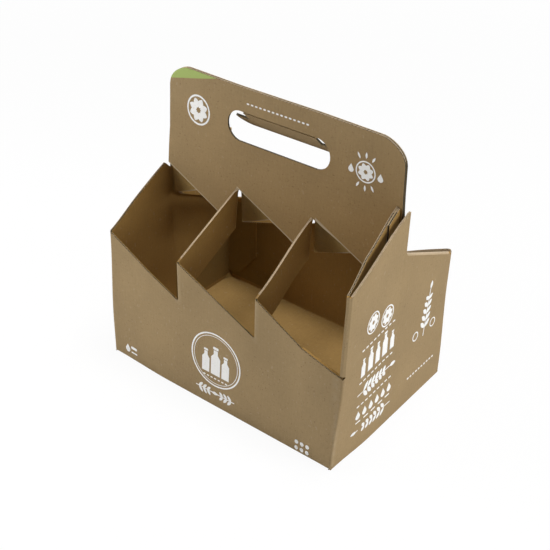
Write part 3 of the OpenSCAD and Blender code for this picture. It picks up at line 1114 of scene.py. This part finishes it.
slope = (PEAK_H - HEM_H) / (HALF_D + PEAK_PAST)
end_runs = []
for meet, low_from in ((PEAK_PAST, PEAK_PAST), (-PEAK_CLEAR, NOTCH)):
    high_run = [(end_x, y, HEM_H + rise_y * slope) for y, rise_y in (
        (hem_y, HEM_R), (meet - HAIR, meet + HALF_D))]
    low_run = [(end_x, low_from + HAIR, strip_z(-low_from, CORNER_H)), (end_x, HALF_D - FOLD_R, CORNER_H)]
    end_runs += [(high_run, X_WAY, DOWN), (low_run, X_WAY, DOWN)]
whole = runs + end_runs[:2]
whole += [(half_turned_points(points), swing, way) for points, swing, way in runs + end_runs[2:]]
whole.append((slot_arc(HOLE_R, -1), Y_WAY, DOWN))
for edge, way in ((-1, DOWN), (1, UP)):
    whole.append((half_turned_points(slot_arc(HOLE_R + HOLE_SPARE, edge)), Y_WAY, way))
core_waves = join("fluted_core", [ribbon(*run) for run in whole])
core_waves.data.materials.append(core)
thicken_sheet(core_waves, thickness=RIBBON, offset=0)
print("fluted core:", len(whole), "edges,", len(core_waves.data.polygons), "faces")

# %% [markdown]
# ## Printed shapes
# The print is white ink in plain shapes: bottles in a ring, citrus slices, leaves, drops and dotted
# rules. Each motif is drawn flat on an artboard, in millimetres, from a few primitives. Then a whole
# sheet of motifs is stood up against its wall and given the thickness of a film of ink.

# %% Draw the motifs
INK_LAYER = 0.008 * MM


def flat_shape(add_shape, at, extent, angle=0.0, **settings):
    """A flat primitive on the artboard at its size and place, in millimetres."""
    put_down()
    add_shape(location=(at[0] * MM, at[1] * MM, 0), rotation=(0, 0, angle), **settings)
    shape = bpy.context.object
    shape.scale = (extent[0] * MM, extent[1] * MM, 1)
    fix_place()
    return shape


def block(at, size, angle=0.0):
    """A plain rectangle."""
    return flat_shape(bpy.ops.mesh.primitive_plane_add, at, size, angle, size=1)


def disc(at, radius, corners):
    """A round patch with this many corners."""
    return flat_shape(
        bpy.ops.mesh.primitive_circle_add, at, (radius, radius), radius=1, vertices=corners, fill_type="NGON")


def bar(at, size, angle=0.0, rounding=0.45):
    """A bar with rounded ends."""
    shape = block(at, size, angle)
    edit(shape)
    bpy.ops.mesh.bevel(offset=min(size) * MM * rounding, segments=4, affect="VERTICES")
    done()
    return [shape]


def dot(at, radius):
    return [disc(at, radius, 20)]


def ring(at, radius, width):
    """A ring: a disc that is inset, with its middle taken out."""
    shape = disc(at, radius, 48)
    edit(shape)
    bpy.ops.mesh.inset(thickness=width * MM, depth=0)
    bpy.ops.mesh.delete(type="FACE")
    done()
    return [shape]


def leaf(at, length, width, angle, layer=0):
    """A disc pinched to a point at both ends, lying along the angle from its stalk."""
    put_down()
    bpy.ops.mesh.primitive_circle_add(radius=1, vertices=24, fill_type="NGON")
    shape = bpy.context.object
    for corner in shape.data.vertices:
        u = corner.co.x
        corner.co.y *= width / 2 * MM * (1 - u * u) ** 0.35
        corner.co.x = (u + 1) * length / 2 * MM
    shape.rotation_euler = (0, 0, angle)
    shape.location = (at[0] * MM, at[1] * MM, layer * INK_LAYER)
    fix_place()
    return [shape]


def drop(at, radius):
    """A disc whose top is drawn up to a point."""
    shape = disc(at, radius, 24)
    for corner in shape.data.vertices:
        up = (corner.co.y / MM - at[1]) / radius
        if up > 0:
            corner.co.x = (at[0] + (corner.co.x / MM - at[0]) * (1 - up ** 1.3)) * MM
            corner.co.y += up * radius * 0.9 * MM
    return [shape]


def bottle(at, height):
    """A bottle: its body is drawn up and narrowed to shoulder and neck, with a cap above."""
    width = height * 0.34
    shape = block((at[0], at[1] + height * 0.3), (width, height * 0.6))
    top = (at[1] + height * 0.6) * MM
    select_edges(shape, lambda p: near(p.y, top))
    for rise, narrow in ((0.12, 0.45), (0.14, 1.0)):
        draw_out(0, height * rise * MM, 0)
        bpy.ops.transform.resize(value=(narrow, 1, 1), center_override=(at[0] * MM, 0, 0))
    done()
    return [shape] + bar((at[0], at[1] + height * 0.93), (width * 0.58, height * 0.09), rounding=0.3)


def citrus(at, radius, pips=8):
    """A cut slice: a ring of peel and a leaf-shaped segment for each part."""
    shapes = ring(at, radius, radius * 0.12)
    for pip in range(pips):
        angle = 2 * math.pi * (pip + 0.5) / pips
        start = (at[0] + radius * 0.16 * math.cos(angle), at[1] + radius * 0.16 * math.sin(angle))
        shapes += leaf(start, radius * 0.64, radius * 0.46, angle)
    return shapes


def sprig(at, length, angle, pairs, leaf_size):
    """A stem with pairs of leaves and one at its tip."""
    way = Vector((math.cos(angle), math.sin(angle)))
    middle = Vector(at) + way * length / 2
    shapes = bar(middle, (length, 0.9), angle)
    for pair in range(pairs):
        stalk = Vector(at) + way * length * (0.18 + 0.72 * pair / pairs)
        for side in (-1, 1):
            layer = 1 + 2 * pair + (side > 0)
            shapes += leaf(stalk, leaf_size * (1 - 0.07 * pair), leaf_size * 0.42, angle + side * 0.85, layer)
    return shapes + leaf(Vector(at) + way * length, leaf_size * 0.9, leaf_size * 0.4, angle, 2 * pairs + 1)


def dotted_rule(at, length, count, size):
    """A level row of short dashes."""
    gap = length / count
    shapes = []
    for index in range(count):
        shapes += bar((at[0] + (index + 0.5) * gap, at[1]), (gap * 0.62, size))
    return shapes


print("motifs ready")

# %% [markdown]
# ## Prints of the front, the handle and the right end
# Each of the three faces gets one sheet of motifs. Their places are in millimetres, across from the
# middle of the face and up from the floor.

# %% Print the walls
INK_LIFT = 0.03 * MM
INK_FILM = 0.06 * MM
FRONT_TURN, END_TURN = (QUARTER, 0, 0), (QUARTER, 0, QUARTER)


def press(name, shapes, turn, place):
    """Stands the artboard up against a wall and gives the ink its film."""
    sheet = join(name, shapes)
    sheet.rotation_euler = turn
    sheet.location = place
    hold(sheet)
    fix_place()
    thicken_sheet(sheet, thickness=INK_FILM, offset=1)
    sheet.data.materials.append(white)
    return sheet


front_art = ring((1, 46), 25, 1.3) + ring((1, 46), 22.3, 0.5)
for column, tall in ((-9, 22), (1, 27), (11, 22)):
    front_art += bottle((column, 32), tall)
front_art += dotted_rule((-12, 28.6), 26, 7, 1.1)
front_art += sprig((-19, 14), 18, 0.0, 3, 6) + sprig((21, 14), 18, math.pi, 3, 6) + dot((1, 14), 1.6)
front_art += drop((-97.5, 10), 2.7) + bar((-90, 13), (7, 2.6)) + bar((-90, 8.6), (7, 1.2))
for column in range(3):
    for row in range(2):
        front_art += dot((82 + column * 5, 5.6 + row * 5), 1.7)
front_print = press("front_print", front_art, FRONT_TURN, (0, -HALF_D - INK_LIFT, 0))

handle_art = citrus((-79, 207), 12.5) + dotted_rule((-30, 227.2), 59, 15, 1.6)
handle_art += citrus((79, 206.5), 8.5) + drop((66.5, 205), 2.4) + drop((91.5, 205), 2.4)
for angle in (-0.5, 0.0, 0.5):
    for end in (-1, 1):
        way = (math.sin(angle), end * math.cos(angle))
        start = (79 + way[0] * 10.5, 206.5 + way[1] * 10.5)
        handle_art += leaf(start, 5, 1.7, math.atan2(way[1], way[0]))
handle_print = press("handle_print", handle_art, FRONT_TURN, (0, -PLY_Y - INK_LIFT, 0))

end_art = citrus((-39, 115), 9) + citrus((-17, 108), 9)
end_art += dotted_rule((-53, 97), 50, 9, 1.3)
for column, tall in enumerate((17, 21, 19, 22, 17)):
    end_art += bottle((-48 + column * 10.6, 72), tall)
end_art += dotted_rule((-53, 67), 50, 9, 1.3)
end_art += sprig((-53, 56), 46, 0.0, 6, 9)
end_art += dotted_rule((-53, 44.5), 50, 9, 1.3)
for column in range(6):
    end_art += drop((-49 + column * 8.6, 34), 2.9)
end_art += dotted_rule((-53, 28), 50, 5, 1.3)
end_art += sprig((-3, 19), 46, math.pi, 6, 8)
end_art += sprig((42, 56), 44, 1.45, 5, 9) + ring((30, 62), 4.2, 1.0) + ring((56, 62), 4.2, 1.0)
end_art += dotted_rule((21, 25), 42, 10, 1.6)
end_print = press("end_print", end_art, END_TURN, (HALF_L + INK_LIFT, 0, 0))
prints = [front_print, handle_print, end_print]
print("prints:", [(sheet.name, len(sheet.data.polygons)) for sheet in prints])

# %% [markdown]
# ## How the box settles
# Glued board is never quite true. Below its bend the handle's plies spread to meet the strips, a corner
# leans out, another leans in, the handle is a little twisted, and the glued flap stands out behind
# the wall. One rule moves the points of every piece, so the print and the core stay on the board.
# For the walls it is a table of pulls: an axis, a distance, and spans that each run from where the pull
# does nothing to where it is full, all in millimetres.

# %% Settle all the pieces
TWIST = 3.0 * MM
STILL = 37 * MM
TUCK = 5.5 * MM
SLIDE = 1.4 * MM
SINK = 2.8 * MM
PULLS = (
    # The right front corner leans out, mostly low down, and the left front one leans in.
    ("x", 4.0, (("x", 70, 108), ("y", 0, -76), ("z", 0, 90))),
    ("x", 1.0, (("x", 70, 108), ("y", 0, -76), ("z", 90, 155))),
    ("x", 2.4, (("x", -60, -114), ("y", 0, -76), ("z", 30, 120))),
    ("y", 1.7, (("x", -60, -114), ("y", 0, -76), ("z", 30, 120))),
    # The second tooth and its strips are skewed, and the left end bows out.
    ("x", -3.8, (("off_tooth", 26, 4), ("off_middle", 68, 8), ("z", 75, 85), ("z", 186, 160))),
    ("x", -2.2, (("x", -111.6, -112.3), ("y", -76, -40), ("y", 45, 5), ("z", 60, 150))),
    # The lower parts of the right end and of the front flare.
    ("x", 2.2, (("x", 95, 112), ("y", -76, -30), ("z", 90, 10))),
    ("y", -2.2, (("x", -114, -50), ("y", -60, -75), ("z", 70, 10))),
    # At the right rear corner the long wall's rim rises and the end wall's rim sinks.
    ("z", 2.6, (("x", 40, 70), ("x", 113.9, 111.5), ("y", 74, 75.9), ("z", 85, 112))),
    ("z", -2.6, (("x", 111.5, 113.9), ("y", 2.4, 2.6), ("y", 75.9, 74), ("z", 85, 112))),
    # The front wall's foot drops to the floor, and the glued flap shows as a ridge.
    ("z", -1.5, (("y", -60, -73), ("z", 14, 2), ("z", 0, 1.6))),
    ("y", -0.7, (("x", 77, 82), ("x", 112, 102), ("y", -70, -74), ("over_flap", -3, 3))),
)


def ease(value, start, stop):
    """0 before start, 1 after stop and smooth between them."""
    share = min(max((value - start) / (stop - start), 0.0), 1.0)
    return share * share * (3 - 2 * share)


def handle_moves(x, y, z):
    """The plies spread below their bend; above it they are twisted, slid and a little lower."""
    move = Vector((0, 0, 0))
    at_ply = z + max(abs(y) - PLY_Y, 0) / HALF_D * SLANT
    if abs(x) < HALF_L - 2.9 * MM and SHOULDER_H - 10 * MM < at_ply < BEND_H:
        slope = SPLAY if y < 0 else REAR_SPLAY
        move.y += math.copysign((BEND_H - at_ply) * slope * (1 - abs(y) / HALF_D), y)
        if 0 < y < PLY_Y + HAIR:
            move.x -= END_OUT * ease(-x, 92 * MM, 110 * MM) * ease(BEND_H - z, 0, 20 * MM)
    if abs(x) < HALF_L - 2.1 * MM:
        close = ease(40 * MM - abs(y), 0, 36 * MM)
        turned = max(abs(x) - STILL, 0) / (HANDLE_HALF - STILL)
        move.y -= math.copysign(TWIST * turned, x) * ease(z, 165 * MM, TOP_H) * close
        move.x -= SLIDE * ease(z, 150 * MM, 200 * MM) * ease(x, -108 * MM, -60 * MM) * close
        move.z -= SINK * ease(z, 222 * MM, TOP_H) * close
    return move


def wall_moves(x, y, z):
    """The sum of the pulls, with the left peak tucked in behind the handle."""
    low_side = GLUE_LOW + (GLUE_CORNER - x) / (GLUE_CORNER - KINK_X) * (GLUE_SIDE - GLUE_LOW)
    place = {"x": x, "y": y, "z": z, "off_middle": abs(y)}
    place.update(off_tooth=abs(x - CELL / 2), over_flap=z - low_side)
    move = Vector((0, 0, 0))
    for axis, distance, spans in PULLS:
        for name, start, stop in spans:
            distance *= ease(place[name], start * MM, stop * MM)
        move["xyz".index(axis)] += distance * MM
    ply_side = y < PLY_Y + HAIR and (x < 1.5 * MM - HANDLE_HALF or z > PEAK_H + 2 * MM)
    if y > PLY_Y - HAIR and not ply_side:
        peak = ease(z, 152 * MM, 180 * MM) * ease(y, 75 * MM, 15 * MM)
        move.x += TUCK * peak * ease(x, -100 * MM, -107 * MM)
    return move


def settled(p):
    return Vector(p) + handle_moves(*p) + wall_moves(*p)


for piece in [carrier, flap, core_waves] + prints:
    for corner in piece.data.vertices:
        corner.co = settled(corner.co)
    piece.data.update()
print("settled", 3 + len(prints), "pieces")

# %% [markdown]
# ## Rubbed folds
# The wear on the folds is held in the board itself, as a number at each of its points: 1 on a fold line
# and nothing a few millimetres away. The finishes read it by its name.

# %% Measure the distance to the fold lines
WEAR_REACH = 2.2 * MM
fold_lines = []
for y_way in (-1, 1):
    wall, tooth = y_way * HALF_D, y_way * PLY_Y
    fold_lines.append(((-HALF_L, wall, 0), (HALF_L, wall, 0)))
    for x_way in (-1, 1):
        edge, hinge = x_way * HALF_L, x_way * CELL / 2
        fold_lines.append(((edge, wall, 0), (edge, wall, SLIT_H)))
        fold_lines.append(((hinge, wall, SLIT_H), (hinge, wall, SHOULDER_H)))
        fold_lines.append(((hinge, tooth, SHOULDER_H), (hinge, tooth, HEM_H)))
fold_lines = [(Vector(start), Vector(stop)) for start, stop in fold_lines]


def off_line(point, start, stop):
    along = stop - start
    share = min(max((point - start).dot(along) / along.length_squared, 0.0), 1.0)
    return (point - start - along * share).length


wear = carrier.data.attributes.new("fold_wear", "FLOAT", "POINT")
for corner, mark in zip(carrier.data.vertices, wear.data):
    gap = min(off_line(corner.co, *line) for line in fold_lines)
    mark.value = max(0.0, 1.0 - gap / WEAR_REACH)
print("worn points:", sum(mark.value > 0 for mark in wear.data))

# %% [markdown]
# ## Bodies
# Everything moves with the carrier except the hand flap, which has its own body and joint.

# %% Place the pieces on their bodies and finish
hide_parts("carrier")
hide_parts("hand_flap")
for piece in [carrier, core_waves] + prints:
    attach(piece, "carrier")
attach(flap, "hand_flap")
